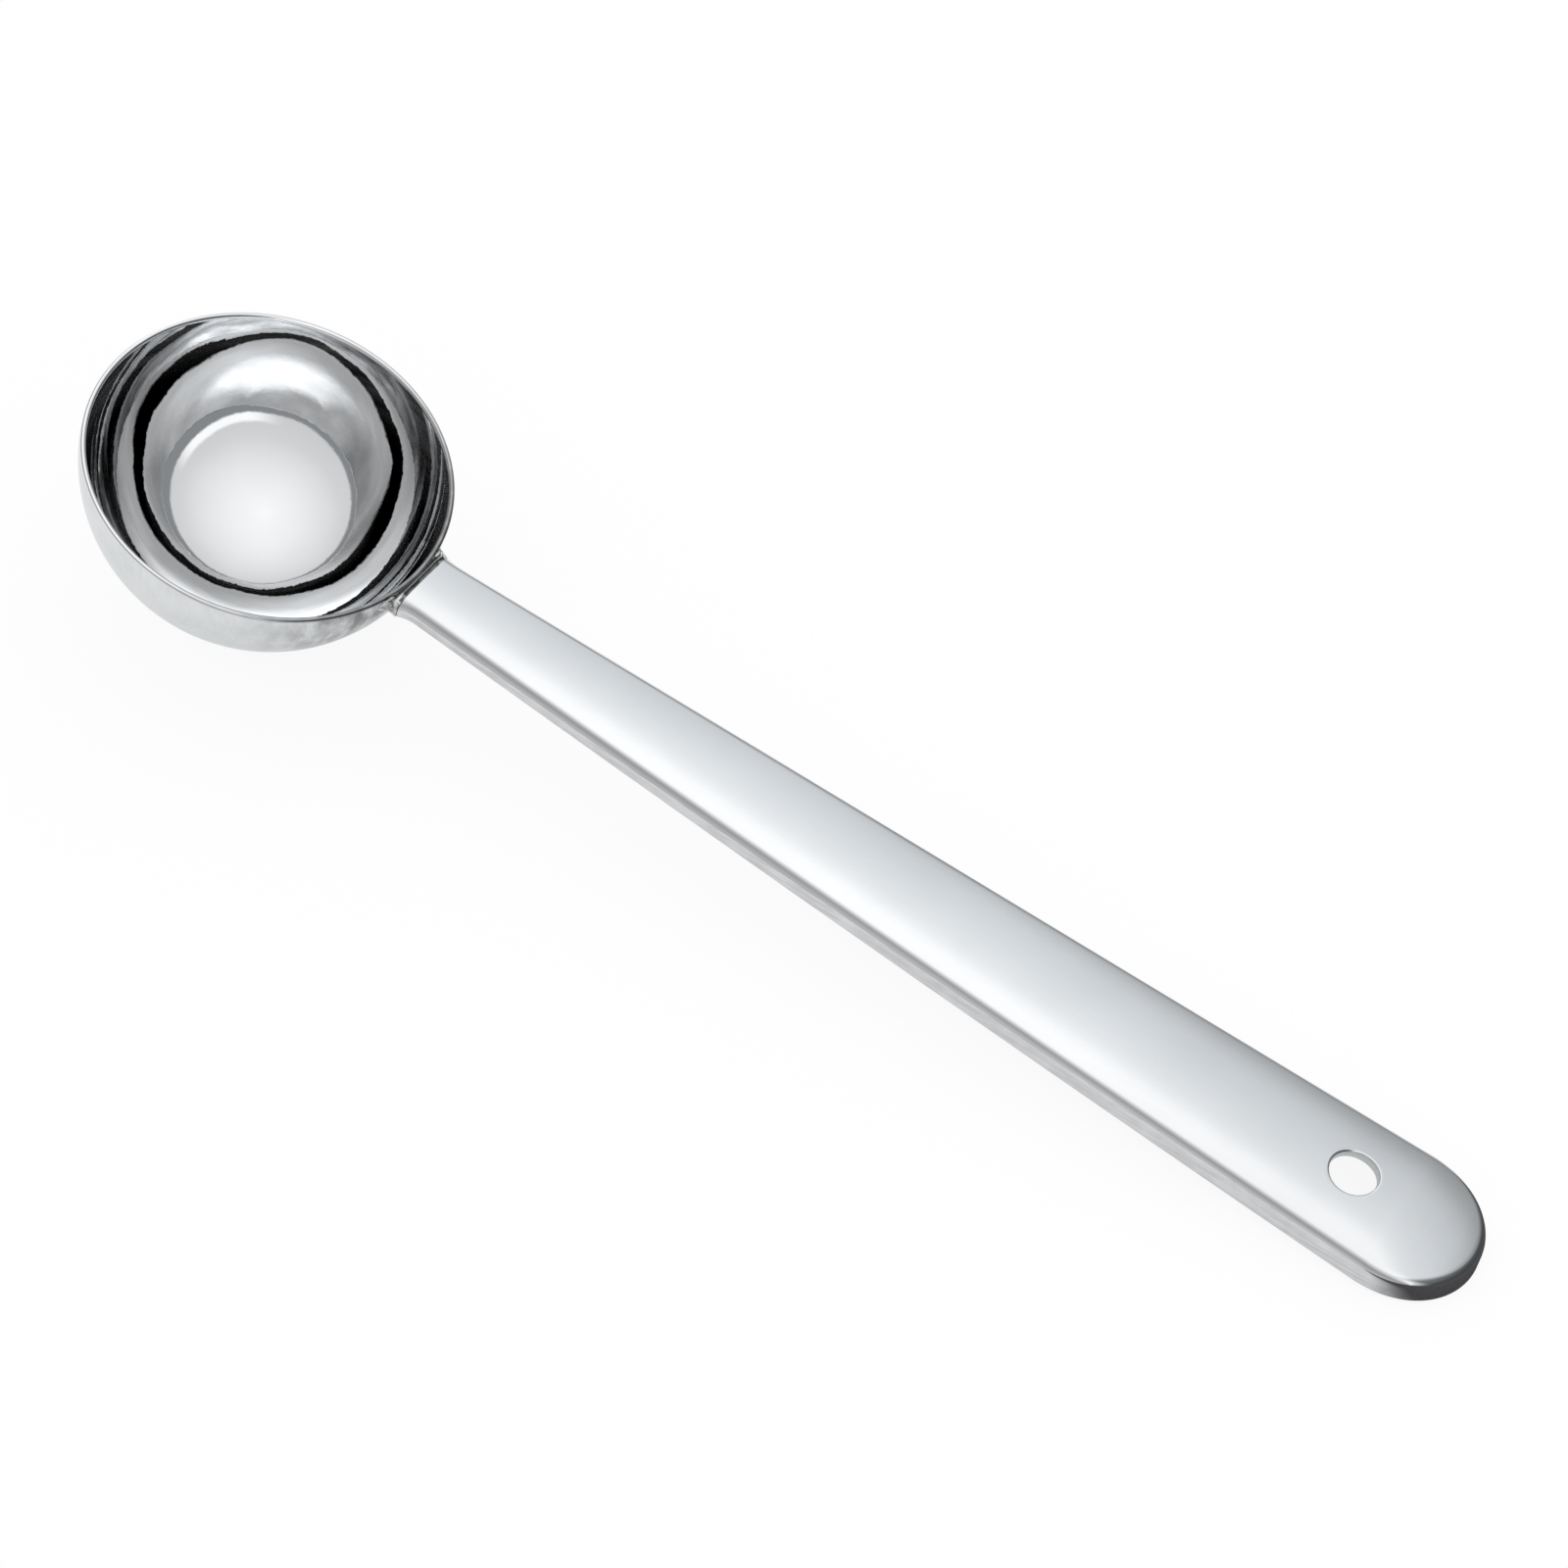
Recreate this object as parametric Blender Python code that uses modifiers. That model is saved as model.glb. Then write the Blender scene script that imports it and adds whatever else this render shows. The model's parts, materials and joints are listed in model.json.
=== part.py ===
"""A kitchen ladle of polished stainless steel, lying on a table as it rests by itself.

Three pieces make it: a hemispherical bowl of thin sheet, a handle pressed from thicker sheet into an
inverted channel with a rounded end and a hang hole, and the weld bead that joins the two at the neck.

The pieces are shaped with the bowl's mouth level, its centre at the origin and the handle along +X. An empty
then tips them, handle end down, until the bowl and the handle's end touch the table at z = 0. The origin
ends up under the middle of the ladle's box. All sizes are in metres.
"""

from math import asin, atan, atan2, cos, hypot, pi, radians, sin, sqrt, tan

import bmesh
import bpy
from mathutils import Matrix, Vector

# Bowl
BOWL_RADIUS = 0.036  # outside, at the mouth and all over: the bowl is half a sphere
BOWL_SHEET = 0.0012
RIM_BAND = 0.0008  # straight band under the mouth, which keeps the rim's face level
RIM_ROUNDING = 0.0002
BOWL_SEGMENTS = 64
BOWL_RINGS = 17

# Handle, measured in plan from the bowl's axis unless a line says otherwise
THROAT = 0.0014  # from the bowl's mouth to the handle's end, which the weld fills
HANDLE_LENGTH = 0.2300
HANDLE_SHEET = 0.0020
HANDLE_RISE = radians(8.5)
HANDLE_BOW = 0.0008  # how far the middle dips below a straight line between its ends
NECK_HEIGHT = 0.0009  # top of the handle over the bowl's mouth, where it starts
NECK_WIDTH = 0.0152
GRIP_WIDTH = 0.0302
SIDE_BULGE = 0.0005
CROWN_RADIUS = 0.045  # of the top, across the handle and round its free end
FOLD_INSIDE = 0.0002  # radius inside the fold, where the top turns down into the flange
NECK_FLANGE = 0.0029  # depth of the flange below the edge of the top, at the neck
GRIP_FLANGE = 0.0054
FLANGE_DRAFT = radians(4.5)
END_ROUNDING = 0.0168  # length of the rounded free end
HANDLE_STEPS = 22
END_STEPS = 7
TOP_COLUMNS = 6
FOLD_STEPS = 4

# Hang hole
HOLE_RADIUS = 0.0048
HOLE_INSET = 0.0267  # from the free end to the hole's centre
HOLE_SEGMENTS = 32

# Weld bead
WELD_FILLET = 0.0036
WELD_REACH = 0.93  # share of the fillet's quarter circle that is made, before the bead is cut to the wall
WELD_SHEET = 0.0014
WELD_OVERRUN = 0.0010  # past the handle's end, before the bead is cut to it
WELD_STEPS = 10
WELD_TOP_STEPS = 3

# Clearance between neighbours, which meet there in the real ladle
SEAM = 0.0003

# Colour and finish of the sheet
STEEL_COLOUR = (0.78, 0.79, 0.80, 1.0)
BOWL_ROUGHNESS = 0.05
HANDLE_ROUGHNESS = 0.08
WELD_ROUGHNESS = 0.18

MERGE_DISTANCE = 0.00001
REST_ROUNDS = 12  # tries at the resting angle, each from the points that touch at the one before

HANDLE_START = BOWL_RADIUS + THROAT
HANDLE_END = HANDLE_START + HANDLE_LENGTH
STRAIGHT_END = HANDLE_END - END_ROUNDING
HOLE_PLACE = HANDLE_END - HOLE_INSET
FOLD_RADIUS = FOLD_INSIDE + HANDLE_SHEET


def clear_scene():
    for obj in list(bpy.data.objects):
        bpy.data.objects.remove(obj)


def new_collection(name):
    collection = bpy.data.collections.new(name)
    bpy.context.scene.collection.children.link(collection)
    return collection


def steel(name, roughness):
    material = bpy.data.materials.new(name)
    material.use_nodes = True
    shader = material.node_tree.nodes["Principled BSDF"]
    shader.inputs["Base Color"].default_value = STEEL_COLOUR
    shader.inputs["Metallic"].default_value = 1.0
    shader.inputs["Roughness"].default_value = roughness
    return material


def new_object(name, mesh, collection, material=None):
    obj = bpy.data.objects.new(name, mesh)
    collection.objects.link(obj)
    if material:
        mesh.materials.append(material)
    return obj


def smooth(obj, sharp_angle=radians(35)):
    obj.data.shade_smooth()
    obj.data.set_sharp_from_angle(angle=sharp_angle)


# Lines of the handle

def handle_share(x):
    """How far along the handle x lies: 0 at the neck, 1 at the free end."""
    return (x - HANDLE_START) / HANDLE_LENGTH


def handle_height(x):
    """Height of the top's centreline over the bowl's mouth."""
    t = handle_share(x)
    return NECK_HEIGHT + (x - HANDLE_START) * tan(HANDLE_RISE) - 4 * HANDLE_BOW * t * (1 - t)


def handle_slope(x):
    return atan(tan(HANDLE_RISE) - 4 * HANDLE_BOW * (1 - 2 * handle_share(x)) / HANDLE_LENGTH)


def half_width(x):
    """Half width of the handle, without the rounding of its free end."""
    t = handle_share(x)
    return (NECK_WIDTH + (GRIP_WIDTH - NECK_WIDTH) * t) / 2 + 4 * SIDE_BULGE * t * (1 - t)


def top_half_width(x):
    """Half width of the top alone, up to where the fold starts."""
    return half_width(x) - FOLD_RADIUS * (1 - half_width(x) / CROWN_RADIUS)


def crown_drop(distance):
    """How far the crowned top lies below its spine at a distance from it."""
    return CROWN_RADIUS - sqrt(CROWN_RADIUS ** 2 - distance ** 2)


def spine_distance(x, y):
    """Distance from the spine, which stops where the free end starts, so that the end is domed."""
    past = max(x - STRAIGHT_END, 0) * half_width(STRAIGHT_END) / END_ROUNDING
    return hypot(y, past)


def flange_depth(x):
    return NECK_FLANGE + (GRIP_FLANGE - NECK_FLANGE) * handle_share(x)


def fold_and_flange(distance, depth, flare=0.0):
    """Steps outwards and down from the edge of the top, round the fold to the flange's foot.

    The edge lies at a distance from the spine, and the foot at a depth below the edge. A flare spreads the
    fold and the flange evenly, and takes the foot down as far.
    """
    start = asin(distance / CROWN_RADIUS)
    stop = pi / 2 - FLANGE_DRAFT
    line = []
    for step in range(1, FOLD_STEPS + 1):
        share = step / FOLD_STEPS
        angle = start + (stop - start) * share
        outwards = FOLD_RADIUS * (sin(angle) - sin(start)) + flare * share
        line.append((outwards, FOLD_RADIUS * (cos(start) - cos(angle))))
    outwards, down = line[-1]
    foot = depth + flare
    line.append((outwards + (foot - down) * tan(FLANGE_DRAFT), foot))
    return line


# Bowl

def make_bowl(collection):
    """A quarter circle turned about the bowl's axis, given its sheet inwards, its mouth's edges eased."""
    mesh = bpy.data.meshes.new("bowl")
    shape = bmesh.new()
    band = asin(RIM_BAND / BOWL_RADIUS)
    angles = [band + (pi / 2 - band) * step / BOWL_RINGS for step in range(BOWL_RINGS + 1)]
    points = [(BOWL_RADIUS, 0), (BOWL_RADIUS, -RIM_BAND)]
    points += [(BOWL_RADIUS * cos(angle), -BOWL_RADIUS * sin(angle)) for angle in angles[1:]]
    profile = [shape.verts.new((x, 0, z)) for x, z in points]
    for upper, lower in zip(profile, profile[1:]):
        shape.edges.new((upper, lower))
    shape.to_mesh(mesh)
    shape.free()
    bowl = new_object("bowl", mesh, collection, steel("bowl_steel", BOWL_ROUGHNESS))

    turn = bowl.modifiers.new("turn", "SCREW")
    turn.steps = BOWL_SEGMENTS
    turn.render_steps = BOWL_SEGMENTS
    turn.use_merge_vertices = True
    turn.merge_threshold = MERGE_DISTANCE
    turn.use_smooth_shade = True

    sheet = bowl.modifiers.new("sheet", "SOLIDIFY")
    sheet.thickness = BOWL_SHEET
    sheet.offset = -1
    sheet.use_even_offset = True

    mouth = bowl.modifiers.new("mouth", "BEVEL")
    mouth.width = RIM_ROUNDING
    mouth.segments = 1
    mouth.limit_method = "ANGLE"
    mouth.angle_limit = radians(40)
    return bowl


# Handle

def handle_rows():
    """Rows of points in plan over half of the top, from the neck to the free end, spine first."""
    rows = []
    for step in range(HANDLE_STEPS):
        x = HANDLE_START + (STRAIGHT_END - HANDLE_START) * step / HANDLE_STEPS
        rows.append([(x, top_half_width(x) * column / TOP_COLUMNS) for column in range(TOP_COLUMNS + 1)])
    # A square of points laid on a quarter of an ellipse, so that the rows stay rows round the end.
    end_reach = END_ROUNDING * top_half_width(STRAIGHT_END) / half_width(STRAIGHT_END)
    for step in range(END_STEPS + 1):
        along = step / END_STEPS
        row = []
        for column in range(TOP_COLUMNS + 1):
            across = column / TOP_COLUMNS
            x = STRAIGHT_END + end_reach * along * sqrt(1 - across ** 2 / 2)
            row.append((x, top_half_width(x) * across * sqrt(1 - along ** 2 / 2)))
        rows.append(row)
    return rows


def outward(outline, index):
    """Direction in plan away from the handle at a point of its outline, square to its ends."""
    if index == 0:
        return Vector((0, 1, 0))
    if index == len(outline) - 1:
        return Vector((1, 0, 0))
    tangent = outline[index + 1].co - outline[index - 1].co
    return Vector((-tangent.y, tangent.x, 0)).normalized()


def make_handle(collection, cutters):
    """Half of the top with its fold and flange, mirrored, given its sheet and pierced."""
    mesh = bpy.data.meshes.new("handle")
    shape = bmesh.new()
    grid = []
    for row in handle_rows():
        heights = [handle_height(x) - crown_drop(spine_distance(x, y)) for x, y in row]
        grid.append([shape.verts.new((x, y, z)) for (x, y), z in zip(row, heights)])
    for near, far in zip(grid, grid[1:]):
        for column in range(TOP_COLUMNS):
            shape.faces.new((near[column], far[column], far[column + 1], near[column + 1]))

    # The outline runs along the side and then round the end. The fold and the flange hang from it, square to
    # the handle's rise.
    outline = [row[TOP_COLUMNS] for row in grid] + grid[-1][TOP_COLUMNS - 1 :: -1]
    rise = Matrix.Rotation(-HANDLE_RISE, 3, "Y")
    hanging = []
    for index, vert in enumerate(outline):
        direction = outward(outline, index)
        line = fold_and_flange(spine_distance(vert.co.x, vert.co.y), flange_depth(vert.co.x))
        steps = [vert.co + rise @ (direction * out - Vector((0, 0, down))) for out, down in line]
        hanging.append([vert] + [shape.verts.new(step) for step in steps])
    for near, far in zip(hanging, hanging[1:]):
        for level in range(len(near) - 1):
            shape.faces.new((near[level], far[level], far[level + 1], near[level + 1]))
    shape.to_mesh(mesh)
    shape.free()
    handle = new_object("handle", mesh, collection, steel("handle_steel", HANDLE_ROUGHNESS))
    smooth(handle)

    other_half = handle.modifiers.new("other_half", "MIRROR")
    other_half.use_axis = (False, True, False)
    other_half.merge_threshold = MERGE_DISTANCE

    sheet = handle.modifiers.new("sheet", "SOLIDIFY")
    sheet.thickness = HANDLE_SHEET
    sheet.offset = -1
    sheet.use_even_offset = True

    hang_hole = handle.modifiers.new("hang_hole", "BOOLEAN")
    hang_hole.operation = "DIFFERENCE"
    hang_hole.object = make_hole_cutter(cutters)
    return handle


def make_hole_cutter(cutters):
    """A round punch, square to the top at the hang hole."""
    mesh = bpy.data.meshes.new("hang_hole_cutter")
    shape = bmesh.new()
    bmesh.ops.create_cone(
        shape, cap_ends=True, segments=HOLE_SEGMENTS, radius1=HOLE_RADIUS, radius2=HOLE_RADIUS,
        depth=6 * HANDLE_SHEET,
    )
    place = Matrix.Translation((HOLE_PLACE, 0, handle_height(HOLE_PLACE)))
    shape.transform(place @ Matrix.Rotation(-handle_slope(HOLE_PLACE), 4, "Y"))
    shape.to_mesh(mesh)
    shape.free()
    return hide(new_object("hang_hole_cutter", mesh, cutters))


def hide(cutter):
    cutter.hide_render = True
    cutter.display_type = "WIRE"
    return cutter


# Weld

def weld_flare(x):
    """How far the bead has spread past the handle's outline at x: a hollow fillet that ends on the wall."""
    reach = min(max((HANDLE_START - x) / WELD_FILLET, 0), 1)
    return WELD_FILLET * (1 - sqrt(1 - reach ** 2))


def weld_top(x):
    """Height of the bead's middle at x: level with the handle at one end and with the mouth at the other."""
    share = min(max((HANDLE_START - x) / THROAT, 0), 1)
    return handle_height(HANDLE_START) * (1 - share) - SEAM * share


def weld_section(x):
    """Points over half of the bead's outer line at x: from the crown out, round the fold and down the side."""
    middle = weld_top(x)
    edge = top_half_width(HANDLE_START)
    points = []
    for step in range(WELD_TOP_STEPS + 1):
        y = edge * step / WELD_TOP_STEPS
        points.append((y, middle - crown_drop(y)))
    for outwards, down in fold_and_flange(edge, flange_depth(HANDLE_START), weld_flare(x)):
        points.append((edge + outwards, middle - crown_drop(edge) - down))
    return points


def make_weld(collection, cutters):
    """Half of the bead's outer face, mirrored, given its thickness, and cut to the wall and to the handle."""
    mesh = bpy.data.meshes.new("neck_weld")
    shape = bmesh.new()
    start = HANDLE_START + WELD_OVERRUN
    end = HANDLE_START - WELD_FILLET * WELD_REACH
    grid = []
    for step in range(WELD_STEPS + 1):
        x = start + (end - start) * step / WELD_STEPS
        grid.append([shape.verts.new((x, y, z)) for y, z in weld_section(x)])
    for outer, inner in zip(grid, grid[1:]):
        for column in range(len(outer) - 1):
            shape.faces.new((outer[column], outer[column + 1], inner[column + 1], inner[column]))
    shape.to_mesh(mesh)
    shape.free()
    weld = new_object("neck_weld", mesh, collection, steel("weld_steel", WELD_ROUGHNESS))
    smooth(weld)

    other_half = weld.modifiers.new("other_half", "MIRROR")
    other_half.use_axis = (False, True, False)
    other_half.merge_threshold = MERGE_DISTANCE

    bead = weld.modifiers.new("bead", "SOLIDIFY")
    bead.thickness = WELD_SHEET
    bead.offset = -1
    bead.use_even_offset = True

    for name, cutter in (("wall_seat", make_wall_cutter(cutters)), ("handle_seat", make_end_cutter(cutters))):
        seat = weld.modifiers.new(name, "BOOLEAN")
        seat.operation = "DIFFERENCE"
        seat.object = cutter
    return weld


def make_wall_cutter(cutters):
    """The bowl's outside, grown by the seam."""
    mesh = bpy.data.meshes.new("bowl_wall_cutter")
    shape = bmesh.new()
    bmesh.ops.create_uvsphere(
        shape, u_segments=BOWL_SEGMENTS, v_segments=2 * BOWL_RINGS, radius=BOWL_RADIUS + SEAM
    )
    shape.to_mesh(mesh)
    shape.free()
    return hide(new_object("bowl_wall_cutter", mesh, cutters))


def make_end_cutter(cutters):
    """A block that takes the bead back to a seam before the handle's end, which is square to its rise."""
    mesh = bpy.data.meshes.new("handle_end_cutter")
    shape = bmesh.new()
    bmesh.ops.create_cube(shape, size=2 * NECK_WIDTH)
    shape.transform(Matrix.Translation((NECK_WIDTH, 0, 0)))
    place = Matrix.Translation((HANDLE_START - SEAM, 0, NECK_HEIGHT))
    shape.transform(place @ Matrix.Rotation(-HANDLE_RISE, 4, "Y"))
    shape.to_mesh(mesh)
    shape.free()
    return hide(new_object("handle_end_cutter", mesh, cutters))


# Resting pose

def world_points(obj, graph):
    evaluated = obj.evaluated_get(graph)
    mesh = evaluated.to_mesh()
    points = [evaluated.matrix_world @ vert.co for vert in mesh.vertices]
    evaluated.to_mesh_clear()
    return points


def lowest_point(points, angle):
    """The point that comes lowest when the ladle is tipped by the angle."""
    return min(points, key=lambda point: point.z * cos(angle) - point.x * sin(angle))


def resting_angle(bowl_points, handle_points):
    """Slope of the line that touches the underside of both the bowl and the handle's free end."""
    angle = pi / 4
    for _ in range(REST_ROUNDS):
        heel = lowest_point(bowl_points, angle)
        toe = lowest_point(handle_points, angle)
        angle = atan2(toe.z - heel.z, toe.x - heel.x)
    return angle


def lay_down(bowl, handle, weld, collection, cutters):
    """Parents everything to an empty that tips it to rest, with the origin under the middle of the box."""
    graph = bpy.context.evaluated_depsgraph_get()
    bowl_points = world_points(bowl, graph)
    handle_points = world_points(handle, graph)
    tip = Matrix.Rotation(resting_angle(bowl_points, handle_points), 4, "Y")
    tipped = [tip @ point for point in bowl_points + handle_points]
    middle = (min(point.x for point in tipped) + max(point.x for point in tipped)) / 2
    lowest = min(point.z for point in tipped)
    rest = bpy.data.objects.new("resting_pose", None)
    collection.objects.link(rest)
    rest.matrix_world = Matrix.Translation((-middle, 0, -lowest)) @ tip
    for obj in [bowl, handle, weld, *cutters.objects]:
        obj.parent = rest


def main():
    clear_scene()
    ladle = new_collection("ladle")
    cutters = new_collection("cutters")
    bowl = make_bowl(ladle)
    handle = make_handle(ladle, cutters)
    weld = make_weld(ladle, cutters)
    lay_down(bowl, handle, weld, ladle, cutters)
    bpy.context.view_layer.update()


main()
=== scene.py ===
"""A polished steel ladle at rest in a plain white studio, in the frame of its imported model."""

import json
import logging
from collections.abc import Callable, Iterator, Sequence
from contextlib import contextmanager
from dataclasses import dataclass
from enum import Enum
from math import asin, atan2, cos, degrees, hypot, pi, radians, sin, sqrt, tan

import bmesh
import bpy
from mathutils import Matrix, Vector


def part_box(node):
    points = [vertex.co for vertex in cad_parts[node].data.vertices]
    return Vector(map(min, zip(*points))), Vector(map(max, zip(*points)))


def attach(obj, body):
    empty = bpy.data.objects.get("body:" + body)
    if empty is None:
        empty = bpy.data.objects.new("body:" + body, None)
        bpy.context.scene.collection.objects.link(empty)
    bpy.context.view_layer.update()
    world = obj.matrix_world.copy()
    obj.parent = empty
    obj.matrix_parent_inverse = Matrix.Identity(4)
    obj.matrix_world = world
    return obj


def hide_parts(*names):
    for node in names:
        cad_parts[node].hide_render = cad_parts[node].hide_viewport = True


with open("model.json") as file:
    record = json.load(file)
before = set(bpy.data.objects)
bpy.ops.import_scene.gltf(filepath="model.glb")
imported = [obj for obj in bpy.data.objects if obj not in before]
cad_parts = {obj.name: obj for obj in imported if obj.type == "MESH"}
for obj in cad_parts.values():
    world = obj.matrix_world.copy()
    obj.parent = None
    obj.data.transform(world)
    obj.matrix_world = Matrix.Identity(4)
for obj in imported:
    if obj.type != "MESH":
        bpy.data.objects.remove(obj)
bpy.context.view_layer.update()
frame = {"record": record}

log = logging.getLogger("ladle")

Place = Callable[[Vector], Vector]
Test = Callable[[Vector], bool]
Socket = bpy.types.NodeSocket
Numbers = tuple[float, ...]
Feed = Socket | Vector | Numbers | float

HAIR = 1e-6  # metres: points that are closer than this are one point
STEEL_SHARE = 0.79  # of the light that falls on the steel, which it gives back
LEVEL_POWER = 1 / 0.45  # from a level as the eye sees it to the strength of the light


class Pick(Enum):
    """What is selected on a workpiece."""

    VERTICES = "VERT"
    EDGES = "EDGE"
    FACES = "FACE"


class Along(Enum):
    """How a polisher's marks run over a surface, as a factor of their fineness along each axis."""

    LENGTH = (0.06, 1.0, 1.0)
    UPRIGHT = (1.0, 1.0, 0.12)
    ALL_WAYS = (1.0, 1.0, 1.0)


def eased(share: float) -> float:
    """A share held between 0 and 1, eased at both ends."""
    held = min(max(share, 0.0), 1.0)
    return held ** 2 * (3 - 2 * held)


@dataclass(frozen=True)
class RestingPose:
    """How the ladle lies: tipped about its bowl's mouth until the bowl and the grip touch the table."""

    slope: float
    mouth: Vector

    @classmethod
    def from_record(cls, record: dict, rim_middle: float) -> "RestingPose":
        """Reads the pose from the rim's mount.

        Args:
            record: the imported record.
            rim_middle: the radius of the middle of the rim's edge, in metres.

        Returns:
            The pose that brings a bowl with its mouth at the origin to where the frame has it.
        """
        mount = record["mounts"][0]
        slope = atan2(mount["axis"][0], mount["axis"][2])
        inwards = Vector((cos(slope), 0, -sin(slope)))
        return cls(slope, Vector(mount["pos_m"]) + inwards * rim_middle)

    def matrix(self) -> Matrix:
        """The move from the bowl's own frame to the table's."""
        return Matrix.Translation(self.mouth) @ Matrix.Rotation(self.slope, 4, "Y")


@dataclass
class Workpiece:
    """One mesh on the bench, shaped in edit mode while everything else is left alone."""

    thing: bpy.types.Object

    @classmethod
    def start(cls, name: str, add: Callable[..., object], **sizes: object) -> "Workpiece":
        """Adds a primitive by itself and names it.

        Args:
            name: the piece's name.
            add: the operator that adds the primitive.
            **sizes: the primitive's own sizes.

        Returns:
            The workpiece, which is the active object.
        """
        bpy.ops.object.select_all(action="DESELECT")
        add(**sizes)
        thing = bpy.context.object
        thing.name = name
        thing.data.name = name
        return cls(thing)

    @contextmanager
    def shaping(self) -> Iterator[None]:
        """Edit mode for this piece alone, with nothing selected at first."""
        bpy.ops.object.mode_set(mode="EDIT")
        bpy.ops.mesh.select_all(action="DESELECT")
        yield
        bpy.ops.object.mode_set(mode="OBJECT")

    def mesh(self) -> bmesh.types.BMesh:
        """The mesh as it is being edited."""
        return bmesh.from_edit_mesh(self.thing.data)

    def select(self, what: Pick, test: Test, open_only: bool = False, turn: float | None = None) -> None:
        """Selects by place, and nothing else stays selected.

        Args:
            what: whether vertices, edges or faces are picked.
            test: tells from the middle of each whether it is wanted.
            open_only: whether an edge has to be on the open side of the sheet.
            turn: the least angle between an edge's two faces, where that matters.
        """
        bpy.ops.mesh.select_all(action="DESELECT")
        bpy.ops.mesh.select_mode(type=what.value)
        shape = self.mesh()
        if what is Pick.VERTICES:
            spots = [(vert, vert.co) for vert in shape.verts]
        elif what is Pick.FACES:
            spots = [(face, face.calc_center_median()) for face in shape.faces]
        else:
            edges = [edge for edge in shape.edges if edge.is_boundary or not open_only]
            if turn is not None:
                edges = [edge for edge in edges if edge.is_manifold and edge.calc_face_angle() > turn]
            spots = [(edge, (edge.verts[0].co + edge.verts[1].co) / 2) for edge in edges]
        for item, spot in spots:
            if test(spot):
                item.select_set(True)
        bmesh.update_edit_mesh(self.thing.data)

    def chosen(self, key: Callable[[Vector], float]) -> list[bmesh.types.BMVert]:
        """The selected vertices in the order of a key."""
        return sorted((vert for vert in self.mesh().verts if vert.select), key=lambda vert: key(vert.co))

    def lay(self, place: Place) -> None:
        """Moves every selected vertex.

        Args:
            place: the rule that says where each goes.
        """
        for vert in self.mesh().verts:
            if vert.select:
                vert.co = place(vert.co)
        bmesh.update_edit_mesh(self.thing.data)

    def thicken(self, sheet: float, even: bool) -> None:
        """Gives an open surface the thickness of its sheet, inwards.

        Args:
            sheet: the thickness.
            even: whether corners are allowed for, which a smooth surface doesn't need.
        """
        solidify = self.thing.modifiers.new("sheet", "SOLIDIFY")
        solidify.thickness = sheet
        solidify.offset = -1
        solidify.use_even_offset = even
        solidify.use_quality_normals = True
        bpy.context.view_layer.objects.active = self.thing
        bpy.ops.object.modifier_apply(modifier=solidify.name)

    def round_off(self, width: float, steps: int) -> None:
        """Rounds the selected edges."""
        bpy.ops.mesh.bevel(offset=width, segments=steps, affect="EDGES", clamp_overlap=False)

    def dress(self, finishes: Sequence["SteelFinish"], which: Callable[[bpy.types.MeshPolygon], int]) -> None:
        """Gives each face one of the piece's finishes.

        Args:
            finishes: the finishes of the piece.
            which: tells the number of a face's finish.
        """
        for finish in finishes:
            self.thing.data.materials.append(finish.material())
        for face in self.thing.data.polygons:
            face.material_index = which(face)

    def finish(self, pose: RestingPose, smoothing: float) -> bpy.types.Object:
        """Shades the piece smooth and lays it down, with its place in its mesh.

        Args:
            pose: how the ladle lies.
            smoothing: the greatest angle between faces that is shaded smooth.

        Returns:
            The piece, which sits at the origin, unturned and unscaled.
        """
        bpy.ops.object.select_all(action="DESELECT")
        self.thing.select_set(True)
        bpy.context.view_layer.objects.active = self.thing
        bpy.ops.object.shade_smooth_by_angle(angle=smoothing)
        self.thing.matrix_world = pose.matrix() @ self.thing.matrix_world
        bpy.ops.object.transform_apply(location=True, rotation=True, scale=True)
        return self.thing


@dataclass(frozen=True)
class Fade:
    """A passage from a low value at its start to a high one at its stop, held at both ends."""

    start: float
    stop: float
    low: float = 0.0
    high: float = 1.0
    soft: bool = False


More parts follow.
